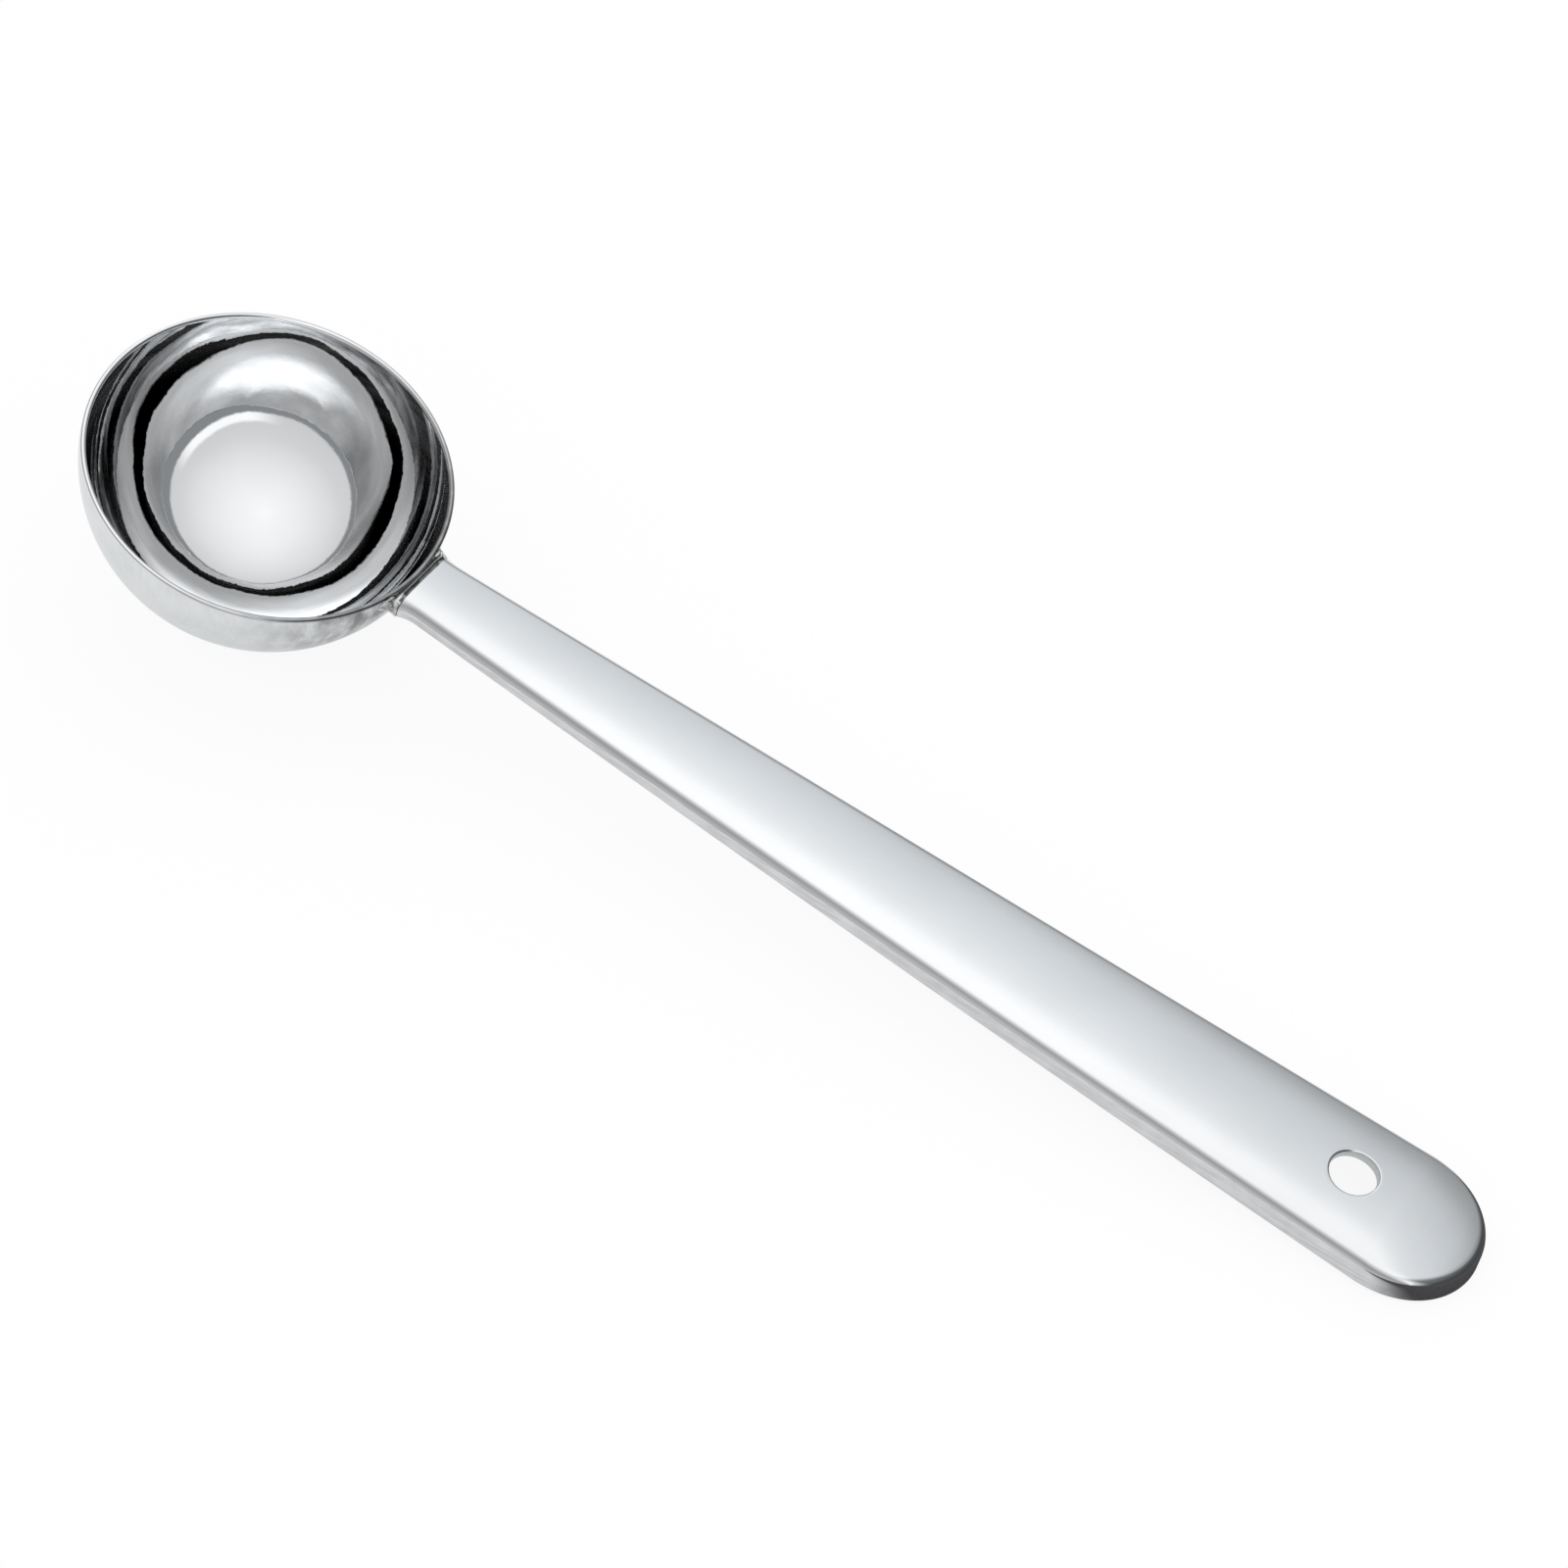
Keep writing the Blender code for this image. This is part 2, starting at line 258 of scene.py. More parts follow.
@dataclass
class Nodes:
    """A node tree, put together from its first node to its last."""

    tree: bpy.types.NodeTree

    @classmethod
    def of(cls, owner: bpy.types.Material | bpy.types.World) -> "Nodes":
        """The emptied node tree of a material or a world."""
        owner.use_nodes = True
        owner.node_tree.nodes.clear()
        return cls(owner.node_tree)

    def add(
        self, kind: str, inputs: dict[int | str, Feed] | None = None, **settings: object,
    ) -> bpy.types.Node:
        """Adds a node.

        Args:
            kind: the node's type.
            inputs: what goes into it, by each input's name or place.
            **settings: the node's own settings.

        Returns:
            The node.
        """
        node = self.tree.nodes.new(kind)
        for key, value in settings.items():
            setattr(node, key, value)
        for key, value in (inputs or {}).items():
            if isinstance(value, Socket):
                self.tree.links.new(value, node.inputs[key])
            else:
                node.inputs[key].default_value = value
        return node

    def calc(self, operation: str, *values: Feed) -> Socket:
        """What a Math node makes of its values."""
        return self.add("ShaderNodeMath", dict(enumerate(values)), operation=operation).outputs[0]

    def span(self, value: Feed, fade: Fade) -> Socket:
        """Spreads a value over a fade.

        Args:
            value: what comes in.
            fade: the value's ends and what comes out at them.

        Returns:
            What comes out.
        """
        ends = {"From Min": fade.start, "From Max": fade.stop, "To Min": fade.low, "To Max": fade.high}
        kind = "SMOOTHSTEP" if fade.soft else "LINEAR"
        node = self.add("ShaderNodeMapRange", {"Value": value, **ends}, interpolation_type=kind)
        return node.outputs["Result"]

    def compare(self, operation: str, first: Feed, second: Feed) -> Socket:
        """The number that a Vector Math node makes of two vectors."""
        node = self.add("ShaderNodeVectorMath", {0: first, 1: second}, operation=operation)
        return node.outputs["Value"]

    def along(self, ray: Feed, towards: Vector | Numbers) -> Socket:
        """How far a direction goes along another."""
        return self.compare("DOT_PRODUCT", ray, towards)

    def angle_from(self, ray: Feed, towards: Vector | Numbers) -> Socket:
        """The angle between a direction and a fixed one."""
        return self.calc("ARCCOSINE", self.along(ray, Vector(towards).normalized()))

    def axes(self, where: Feed) -> Sequence[Socket]:
        """The x, y and z of a place or a direction."""
        return self.add("ShaderNodeSeparateXYZ", {0: where}).outputs

    def ramp(self, value: Feed, stops: Sequence[tuple[float, Numbers]]) -> Socket:
        """A colour ramp.

        Args:
            value: what comes in, from 0 to 1.
            stops: the place and the colour of each stop, in order.

        Returns:
            The ramp's colour.
        """
        node = self.add("ShaderNodeValToRGB", {"Fac": value})
        elements = node.color_ramp.elements
        while len(elements) < len(stops):
            elements.new(0.5)
        for element, (place, colour) in zip(elements, stops):
            element.position = place
            element.color = (*colour, 1)
        return node.outputs["Color"]

    def mix(self, share: Feed, first: Feed, second: Feed, blend: str = "MIX") -> Socket:
        """Mixes two colours."""
        node = self.add("ShaderNodeMix", {0: share, 6: first, 7: second}, data_type="RGBA", blend_type=blend)
        return node.outputs[2]

    def bump(self, height: Socket, depth: float, **more: Feed) -> Socket:
        """The surface's slope from a height that goes from 0 to 1 over a depth in metres."""
        inputs = {"Strength": 1.0, "Distance": depth, "Height": height, **more}
        return self.add("ShaderNodeBump", inputs).outputs[0]

    def noise(self, where: Feed, scale: float, detail: float, stretch: Numbers = (1, 1, 1),
              roughness: float = 0.5) -> Socket:
        """Noise by place.

        Args:
            where: the coordinates.
            scale: how fine the noise is, per metre.
            detail: how many finer layers it has.
            stretch: a factor of the scale along each axis.
            roughness: how strong the finer layers are.

        Returns:
            The noise, from 0 to 1.
        """
        moved = self.add("ShaderNodeMapping", {"Scale": stretch, "Vector": where}).outputs["Vector"]
        inputs = {"Vector": moved, "Scale": scale, "Detail": detail, "Roughness": roughness}
        return self.add("ShaderNodeTexNoise", inputs).outputs["Fac"]


@dataclass(frozen=True)
class PaintedWeldShade:
    """Shade painted on the steel where the handle meets the bowl: darker, in patches, by the distance from
    the weld.
    """

    reach: Fade
    place: Numbers = (-0.0795, 0.0, 0.028)
    colour: Numbers = (0.20, 0.20, 0.205)
    patch_scale: float = 330.0
    patchiness: Fade = Fade(0.35, 0.6, 0.8, 1.0)

    def over(self, nodes: Nodes, where: Feed, steel: Feed) -> Socket:
        """Paints the shade darker towards the weld.

        Args:
            nodes: the finish's node tree.
            where: the piece's own coordinates.
            steel: the colour without the painted shade.

        Returns:
            The colour with the painted shade.
        """
        apart = nodes.compare("DISTANCE", where, self.place)
        patchy = nodes.span(nodes.noise(where, self.patch_scale, 3, (1.0, 1.0, 0.35)), self.patchiness)
        share = nodes.calc("MULTIPLY", nodes.span(apart, self.reach), patchy)
        return nodes.mix(share, steel, (*self.colour, 1))


@dataclass(frozen=True)
class RimHaze:
    """The duller, streaky polish below a rim, which a polishing wheel reaches badly."""

    axis: Numbers = (0.235385, 0.0, 0.971902)
    rim_level: float = 0.00773
    reach: Fade = Fade(0.0, 0.014, 0.11, 0.0, soft=True)
    streak_scale: float = 90.0
    streaks: Fade = Fade(0.35, 0.65, 0.25, 1.0)

    def metal(self, nodes: Nodes, where: Feed) -> Socket:
        """How much of the surface mirrors, by the depth below the rim.

        Args:
            nodes: the finish's node tree.
            where: the piece's own coordinates.

        Returns:
            The share, up to 1 where there is no haze.
        """
        depth = nodes.calc("SUBTRACT", self.rim_level, nodes.along(where, self.axis))
        streaks = nodes.span(nodes.noise(where, self.streak_scale, 4, (0.6, 0.6, 6.0), 0.65), self.streaks)
        return nodes.calc("SUBTRACT", 1.0, nodes.calc("MULTIPLY", nodes.span(depth, self.reach), streaks))


@dataclass(frozen=True)
class SteelFinish:
    """Bare stainless steel, polished to some degree.

    The waves are the slow bends that a press or a lathe leaves in the sheet, and the marks are the
    polisher's. Both are given by how fine they are, per metre, and how deep. Clouds are slow changes of tone.
    """

    name: str
    colour: Numbers = (0.78, 0.79, 0.80)
    shade: Numbers = (0.75, 0.76, 0.77)
    gloss: tuple[float, float] | None = (0.05, 0.08)
    marks: Along = Along.ALL_WAYS
    mark_scale: float = 2500.0
    mark_depth: float = 0.0000002
    wave_scale: float = 60.0
    wave_depth: float = 0.00001
    clouds_to_waves: float = 1.7
    streaks: float = 0.0
    # painted shade, darker towards the weld, if the finish has any
    painted_weld_shade: PaintedWeldShade | None = None
    haze: RimHaze | None = None

    def material(self) -> bpy.types.Material:
        """Builds the finish from nodes on the piece's own coordinates.

        Returns:
            The material.
        """
        material = bpy.data.materials.new(self.name)
        nodes = Nodes.of(material)
        where = nodes.add("ShaderNodeTexCoord").outputs["Object"]
        clouds = nodes.noise(where, self.wave_scale * self.clouds_to_waves, 3)
        steel = nodes.ramp(nodes.span(clouds, Fade(0.3, 0.7)), [(0.0, self.shade), (1.0, self.colour)])
        marks = nodes.noise(where, self.mark_scale, 3, self.marks.value, 0.6)
        dulled = nodes.span(marks, Fade(0.35, 0.65, 1.0, 1.0 - self.streaks))
        steel = nodes.mix(1.0, steel, dulled, blend="MULTIPLY")
        slow = nodes.bump(nodes.noise(where, self.wave_scale, 1), self.wave_depth)
        shader = nodes.add("ShaderNodeBsdfPrincipled", {
            "Base Color": self.painted_weld_shade.over(nodes, where, steel) if self.painted_weld_shade else steel,
            "Metallic": self.haze.metal(nodes, where) if self.haze else 1.0,
            "Roughness": nodes.span(marks, Fade(0.3, 0.7, *self.gloss)) if self.gloss else 0.0,
            "Normal": nodes.bump(marks, self.mark_depth, Normal=slow),
        })
        nodes.add("ShaderNodeOutputMaterial", {"Surface": shader.outputs["BSDF"]})
        return material


MIRROR = SteelFinish(
    "mirror_steel", gloss=None, mark_scale=200.0, mark_depth=0.000016, wave_scale=45.0, wave_depth=0.0003,
    haze=RimHaze(),
)
OUTER_POLISH = SteelFinish(
    "outer_steel", colour=(0.86, 0.865, 0.87), shade=(0.78, 0.79, 0.80), gloss=(0.045, 0.07),
    marks=Along.UPRIGHT, mark_scale=1100.0, mark_depth=0.0000003, wave_scale=90.0, wave_depth=0.00002,
    streaks=0.05,
    # painted shade on the outside, darker towards the weld
    painted_weld_shade=PaintedWeldShade(Fade(0.012, 0.040, 1.0, 0.0, soft=True), patchiness=Fade(0.35, 0.6, 0.1, 1.0)),
)
# The rim's rounded edge: its colour is raised above the steel's, a painted highlight that makes the rim a
# bright line.
GROUND_EDGE_PAINTED_HIGHLIGHT = SteelFinish(
    "ground_edge_painted_highlight", colour=(0.93, 0.93, 0.94), shade=(0.88, 0.88, 0.89), marks=Along.UPRIGHT, wave_scale=90.0,
    # painted shade on the rim's edge, darker towards the weld
    wave_depth=0.00002, painted_weld_shade=PaintedWeldShade(Fade(0.012, 0.066, 0.9, 0.0, soft=True)),
)
DRAWN_POLISH = SteelFinish(
    "drawn_steel", marks=Along.LENGTH, wave_scale=25.0, wave_depth=0.000012, streaks=0.012,
)
SIDE_POLISH = SteelFinish(
    "side_steel", colour=(0.79, 0.785, 0.80), shade=(0.72, 0.71, 0.73), gloss=(0.06, 0.10),
    marks=Along.LENGTH, mark_scale=1500.0, wave_scale=160.0, streaks=0.16,
)
WELD_TOP = SteelFinish(
    "weld_top", colour=(0.36, 0.36, 0.36), shade=(0.15, 0.15, 0.14), gloss=(0.12, 0.30), mark_scale=1200.0,
    mark_depth=0.00004, wave_scale=400.0, wave_depth=0.0002,
)
# The weld's sides: dark mottled weld metal, with bright patches painted into its colour as glints of its
# polished lumps.
WELD_SIDE_PAINTED_GLINTS = SteelFinish(
    "weld_side_painted_glints", colour=(0.95, 0.95, 0.95), shade=(0.16, 0.16, 0.15), gloss=(0.03, 0.12), mark_scale=1000.0,
    mark_depth=0.00004, wave_scale=330.0, wave_depth=0.0004,
)


@dataclass
class Bowl:
    """The half sphere of sheet that holds what the ladle lifts, set in a hair from the frame's box."""

    radius: float = 0.03596
    inset: float = 0.00004
    sheet: float = 0.00117
    edge_rounding: float = 0.00056
    edge_steps: int = 6
    segments: int = 192
    rings: int = 128
    smoothing: float = radians(40)
    finish_inside: SteelFinish = MIRROR
    finish_outside: SteelFinish = OUTER_POLISH
    # the rim's edge, with its painted highlight
    finish_rim: SteelFinish = GROUND_EDGE_PAINTED_HIGHLIGHT

    def rim_middle(self) -> float:
        """Radius of the middle of the rim's edge."""
        return self.radius - self.sheet / 2

    def on_rim_edge(self, spot: Vector) -> bool:
        """Whether a point lies on one of the rim's two sharp circles."""
        apart = abs(hypot(spot.x, spot.y) - self.rim_middle())
        return spot.z > -HAIR and abs(apart - self.sheet / 2) < self.sheet / 5

    def build(self, pose: RestingPose) -> bpy.types.Object:
        """Halves a ball, gives it its sheet and rounds the rim.

        Args:
            pose: how the ladle lies.

        Returns:
            The finished bowl.
        """
        bowl = Workpiece.start(
            "spun_bowl", bpy.ops.mesh.primitive_uv_sphere_add,
            segments=self.segments, ring_count=self.rings, radius=self.radius,
        )
        with bowl.shaping():
            bpy.ops.mesh.select_all(action="SELECT")
            bpy.ops.mesh.bisect(plane_co=(0, 0, 0), plane_no=(0, 0, 1), clear_outer=True, use_fill=False)
        bowl.thicken(self.sheet, even=True)
        with bowl.shaping():
            bowl.select(Pick.VERTICES, lambda spot: spot.z > -self.sheet / 2)
            bpy.ops.transform.resize(value=(1, 1, 0), center_override=(0, 0, 0))
            bowl.select(Pick.EDGES, self.on_rim_edge)
            bowl.round_off(self.edge_rounding, self.edge_steps)
        bowl.dress((self.finish_outside, self.finish_inside, self.finish_rim), self.polish)
        return bowl.finish(pose, self.smoothing)

    def polish(self, face: bpy.types.MeshPolygon) -> int:
        """The number of a face's finish, by whether it is outside, inside or on the rim."""
        return 2 if face.center.z > -self.edge_rounding else int(face.center.length < self.rim_middle())


@dataclass
class Handle:
    """The pressed channel that runs from the neck to the rounded, pierced grip."""

    start: float = 0.0374
    length: float = 0.22996
    sheet: float = 0.0020
    rise: float = radians(8.5)
    bow: float = 0.0008
    neck_height: float = 0.0009
    neck_width: float = 0.0152
    grip_width: float = 0.0302
    side_bulge: float = 0.0005
    crown_radius: float = 0.0450
    fold_radius: float = 0.0022
    neck_flange: float = 0.0029
    grip_flange: float = 0.0054
    draft: float = radians(4.5)
    end_rounding: float = 0.0168
    hole_radius: float = 0.0045
    hole_rounding: float = 0.0005
    hole_inset: float = 0.0267
    hole_block: float = 0.0105  # from the hole's middle, which holds the block of faces opened for it
    hole_rows: tuple[int, int] = (221, 237)
    hole_columns: float = 0.55
    hole_rings: int = 5
    neck_flare: float = 0.0006
    neck_flare_reach: float = 0.0040
    edge_rounding: float = 0.00028
    edge_steps: int = 3
    hole_steps: int = 6
    rows: int = 240
    end_rows: int = 22
    columns: int = 40
    fold_steps: int = 8
    flange_steps: int = 3
    sharp: float = radians(50)
    smoothing: float = radians(40)
    side_slope: float = 0.55  # upward part of the normal, below which a face is dressed as a side
    finish: SteelFinish = DRAWN_POLISH
    finish_side: SteelFinish = SIDE_POLISH

    def straight_end(self) -> float:
        """Where the sides stop and the rounded end starts."""
        return self.start + self.length - self.end_rounding

    def hole_place(self) -> float:
        """Where the hang hole's middle is."""
        return self.start + self.length - self.hole_inset

    def from_hole(self, spot: Vector) -> float:
        """How far a point is from the hang hole's middle, seen from above."""
        return hypot(spot.x - self.hole_place(), spot.y)

    def share(self, x: float) -> float:
        """How far along the handle x lies: 0 at the neck, 1 at the free end."""
        return (x - self.start) / self.length

    def height(self, x: float) -> float:
        """Height of the top's middle line over the bowl's mouth."""
        share = self.share(x)
        return self.neck_height + (x - self.start) * tan(self.rise) - 4 * self.bow * share * (1 - share)

    def half_width(self, x: float) -> float:
        """Half width of the handle, without the rounding of its free end."""
        share = self.share(x)
        straight = (self.neck_width + (self.grip_width - self.neck_width) * share) / 2
        return straight + 4 * self.side_bulge * share * (1 - share)

    def top_half_width(self, x: float) -> float:
        """Half width of the top alone, up to where the fold starts."""
        half = self.half_width(x)
        return half - self.fold_radius * (1 - half / self.crown_radius)

    def crown_drop(self, distance: float) -> float:
        """How far the crowned top lies below its spine at a distance from it."""
        return self.crown_radius - sqrt(self.crown_radius ** 2 - distance ** 2)

    def spine_distance(self, x: float, y: float) -> float:
        """Distance from the spine, which stops where the rounded end starts."""
        past = max(x - self.straight_end(), 0)
        return hypot(y, past * self.half_width(self.straight_end()) / self.end_rounding)

    def top(self, spot: Vector) -> float:
        """Height of the crowned top over or under a point."""
        return self.height(spot.x) - self.crown_drop(self.spine_distance(spot.x, spot.y))

    def lift(self, spot: Vector) -> Vector:
        """Raises a point of the plan to the crowned top."""
        return Vector((spot.x, spot.y, self.top(spot)))

    def at_foot(self, spot: Vector) -> bool:
        """Whether a point lies well below the top's sheet, where only the sides' feet are."""
        return spot.x > self.start + self.edge_rounding and spot.z < self.top(spot) - 1.2 * self.sheet

    def flange_depth(self, x: float) -> float:
        """Depth of the side below the top's edge."""
        return self.neck_flange + (self.grip_flange - self.neck_flange) * self.share(x)

    def flare(self, x: float) -> float:
        """How far the side spreads towards the weld at the neck."""
        reach = min(max(1 - (x - self.start) / self.neck_flare_reach, 0), 1)
        return self.neck_flare * reach ** 2

    def plan(self, spot: Vector) -> Vector:
        """Where a point of the flat unit sheet goes, seen from above.

        Args:
            spot: a point of the sheet, half a unit either way from its middle.

        Returns:
            The point's place in the handle's plan.
        """
        row = (spot.x + 0.5) * (self.rows + self.end_rows)
        across = 2 * spot.y
        straight = self.straight_end()
        if row <= self.rows + 0.01:
            x = self.start + (straight - self.start) * row / self.rows
            return Vector((x, self.top_half_width(x) * across, 0))
        along = (row - self.rows) / self.end_rows
        reach = self.end_rounding * self.top_half_width(straight) / self.half_width(straight)
        x = straight + reach * along * sqrt(1 - across ** 2 / 2)
        return Vector((x, self.top_half_width(x) * across * sqrt(1 - along ** 2 / 2), 0))

    def section(self, across: float) -> tuple[Vector, float]:
        """The outer line of the handle's end, without the flare.

        Args:
            across: the place on the line, from -1 at the near foot to 1 at the far foot.

        Returns:
            The point, and the angle by which its face leans out from upright.
        """
        side = 1 if across >= 0 else -1
        share = abs(across)
        edge = self.top_half_width(self.start)
        top, begin, end = self.height(self.start), asin(edge / self.crown_radius), pi / 2 - self.draft
        if share <= 0.5:
            y = edge * share / 0.5
            return Vector((self.start, side * y, top - self.crown_drop(y))), asin(y / self.crown_radius)
        angle = begin + (end - begin) * min((share - 0.5) / 0.25, 1)
        out = self.fold_radius * (sin(angle) - sin(begin))
        down = self.fold_radius * (cos(begin) - cos(angle))
        if share > 0.75:
            further = (self.neck_flange + self.neck_flare - down) * (share - 0.75) / 0.25
            out += further * tan(self.draft)
            down += further
        return Vector((self.start, side * (edge + out), top - self.crown_drop(edge) - down)), angle

    def round_the_end(self, spot: Vector) -> float:
        """The order of a point of the outline, from the near side round the free end to the far side.

        Args:
            spot: a point of the outline.

        Returns:
            A number that grows all the way along the outline.
        """
        past = spot.x - self.straight_end()
        if past >= 0:
            return atan2(spot.y, past)
        return (pi / 2 - past / self.edge_rounding) * (1 if spot.y > 0 else -1)

    def towards_hole(self, spot: Vector, kept: float) -> Vector:
        """Moves a point in towards the hang hole's edge.

        Args:
            spot: the point.
            kept: the share of its distance from the edge that it keeps.

        Returns:
            The point's new place.
        """
        middle = Vector((self.hole_place(), 0, 0))
        out = spot - middle
        return middle + out.normalized() * (self.hole_radius + (out.length - self.hole_radius) * kept)

    def punch(self, blank: Workpiece) -> None:
        """Opens a block of faces in the flat top and closes it in, ring by ring, to the round hole.

        Args:
            blank: the unit sheet, which is laid out in plan on the way.
        """
        row_size = 1 / (self.rows + self.end_rows)
        low, high = (row * row_size - 0.5 for row in self.hole_rows)
        blank.select(Pick.FACES, lambda spot: low < spot.x < high and abs(2 * spot.y) < self.hole_columns)
        bpy.ops.mesh.delete(type="FACE")
        bpy.ops.mesh.select_all(action="SELECT")
        blank.lay(self.plan)
        blank.select(Pick.EDGES, lambda spot: self.from_hole(spot) < self.hole_block, open_only=True)
        for ring in range(self.hole_rings, 0, -1):
            kept = (ring - 1) / ring
            bpy.ops.mesh.extrude_region_move()
            blank.lay(lambda spot: self.towards_hole(spot, kept))

    def hanging_line(self, spot: Vector, outwards: Vector) -> list[Vector]:
        """Steps from the edge of the top, round the fold and down the side.

        Args:
            spot: a point of the top's edge.
            outwards: the direction away from the handle there, seen from above.

        Returns:
            The steps' places, square to the handle's rise.
        """
        begin = asin(self.spine_distance(spot.x, spot.y) / self.crown_radius)
        end = pi / 2 - self.draft
        spread = self.flare(spot.x)
        line = []
        for step in range(1, self.fold_steps + 1):
            share = step / self.fold_steps
            angle = begin + (end - begin) * share
            out = self.fold_radius * (sin(angle) - sin(begin)) + spread * share
            line.append((out, self.fold_radius * (cos(begin) - cos(angle))))
        out, down = line[-1]
        foot = self.flange_depth(spot.x) + spread
        for step in range(1, self.flange_steps + 1):
            further = (foot - down) * step / self.flange_steps
            line.append((out + further * tan(self.draft), down + further))
        rise = Matrix.Rotation(-self.rise, 3, "Y")
        return [spot + rise @ (outwards * out - Vector((0, 0, down))) for out, down in line]

    def hang_sides(self, blank: Workpiece) -> None:
        """Draws the fold and the side out of the top's outline, all round but for the neck.

        Args:
            blank: the crowned top.
        """
        past_neck = self.start + 10 * HAIR
        blank.select(
            Pick.EDGES, lambda spot: spot.x > past_neck and self.from_hole(spot) > self.hole_block,
            open_only=True,
        )
        outline = [vert.co.copy() for vert in blank.chosen(self.round_the_end)]
        hanging = []
        for index, spot in enumerate(outline):
            if index in (0, len(outline) - 1):
                outwards = Vector((0, 1 if spot.y > 0 else -1, 0))
            else:
                tangent = outline[index + 1] - outline[index - 1]
                outwards = Vector((tangent.y, -tangent.x, 0)).normalized()
            hanging.append(self.hanging_line(spot, outwards))
        for level in range(self.fold_steps + self.flange_steps):
            bpy.ops.mesh.extrude_region_move()
            for vert, line in zip(blank.chosen(self.round_the_end), hanging, strict=True):
                vert.co = line[level]
            bmesh.update_edit_mesh(blank.thing.data)

    def build(self, pose: RestingPose) -> bpy.types.Object:
        """Presses the handle from a flat sheet.

        Args:
            pose: how the ladle lies.

        Returns:
            The finished handle.
        """
        blank = Workpiece.start(
            "pressed_handle", bpy.ops.mesh.primitive_grid_add,
            x_subdivisions=self.rows + self.end_rows, y_subdivisions=self.columns, size=1,
        )
        with blank.shaping():
            self.punch(blank)
            bpy.ops.mesh.select_all(action="SELECT")
            blank.lay(self.lift)
            self.hang_sides(blank)
            bpy.ops.mesh.select_all(action="SELECT")
            bpy.ops.mesh.remove_doubles(threshold=HAIR)
            bpy.ops.mesh.normals_make_consistent(inside=False)
            if sum(face.normal.z for face in blank.mesh().faces) < 0:
                bpy.ops.mesh.flip_normals()
        blank.thicken(self.sheet, even=False)
        with blank.shaping():
            blank.select(Pick.EDGES, self.at_foot, turn=self.sharp)
            blank.round_off(self.edge_rounding, self.edge_steps)
            blank.select(Pick.EDGES, self.near_hole, turn=self.sharp)
            blank.round_off(self.hole_rounding, self.hole_steps)
        blank.dress((self.finish, self.finish_side), self.polish)
        return blank.finish(pose, self.smoothing)

    def near_hole(self, spot: Vector) -> bool:
        """Whether a point is in the hang hole's wall or close round it."""
        return self.from_hole(spot) < 2 * self.hole_radius

    def polish(self, face: bpy.types.MeshPolygon) -> int:
        """The number of a face's finish: the sides have the coarser one that the press leaves."""
        return int(abs(face.normal.z) < self.side_slope and not self.near_hole(face.center))


